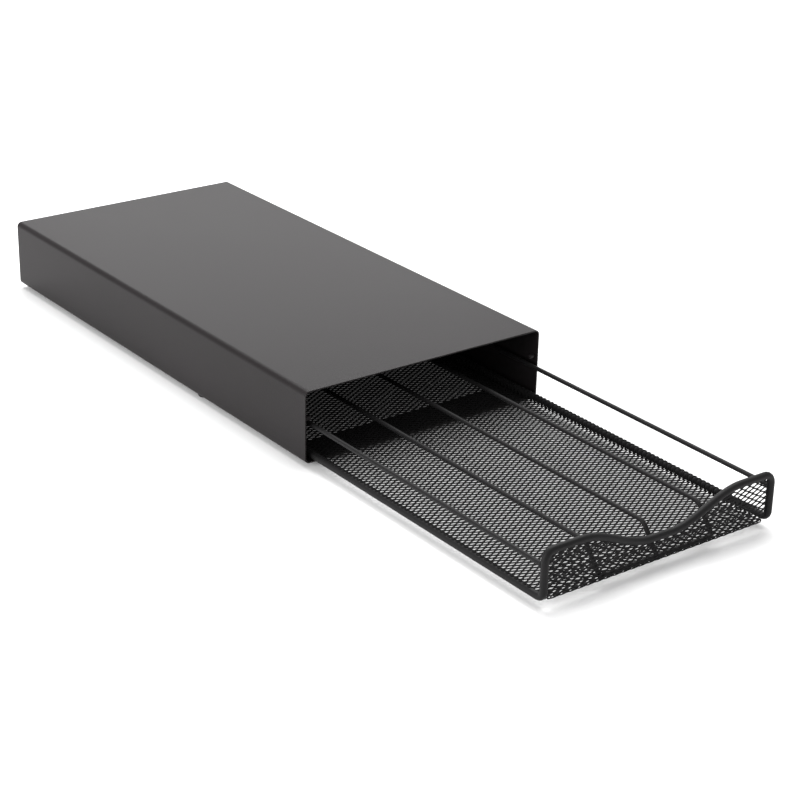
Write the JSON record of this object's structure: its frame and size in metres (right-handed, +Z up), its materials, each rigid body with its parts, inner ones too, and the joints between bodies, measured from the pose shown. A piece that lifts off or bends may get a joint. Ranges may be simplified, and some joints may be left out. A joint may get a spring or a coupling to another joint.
{
  "type": "slide-out storage drawer",
  "caption": "Low folded-steel sleeve on rubber feet with a slide-out wire-framed mesh tray that lengthwise wires divide into channels.",
  "frame": {"origin": "on the ground, under the middle of the whole object's box with the tray pulled out 235 mm", "axes": "+Y from the open mouth to the back of the sleeve, +Z up, +X to the right seen from the mouth; the tray pulls out along -Y"},
  "size_m": [0.2, 0.6474, 0.0553],
  "materials": {
    "sleeve_paint": "fine matt black powder coat",
    "wire_paint": "satin black powder coat",
    "mesh_paint": "satin black powder coat on expanded metal",
    "foot_rubber": "matt black rubber"
  },
  "bodies": {
    "sleeve": {"sleeve_shell": "sleeve_paint", "front_cross_strap": "sleeve_paint", "rear_cross_strap": "sleeve_paint", "rear_panel": "sleeve_paint", "left_hold_down_tab": "sleeve_paint", "right_hold_down_tab": "sleeve_paint", "foot_front_left": "foot_rubber", "foot_front_right": "foot_rubber", "foot_middle_left": "foot_rubber", "foot_middle_right": "foot_rubber", "foot_rear_left": "foot_rubber", "foot_rear_right": "foot_rubber"},
    "tray": {"front_rim": "wire_paint", "rear_rim": "wire_paint", "left_rail": "wire_paint", "right_rail": "wire_paint", "left_side_wire": "wire_paint", "right_side_wire": "wire_paint", "divider_left": "wire_paint", "divider_middle": "wire_paint", "divider_right": "wire_paint", "divider_front_bar": "wire_paint", "divider_rear_bar": "wire_paint", "floor_mesh": "mesh_paint", "front_mesh": "mesh_paint", "rear_mesh": "mesh_paint"}
  },
  "joints": [
    {"name": "tray_slide", "type": "slide", "parent": "sleeve", "child": "tray", "axis": [0, -1, 0], "range_m": [-0.2335, 0.0965]}
  ]
}
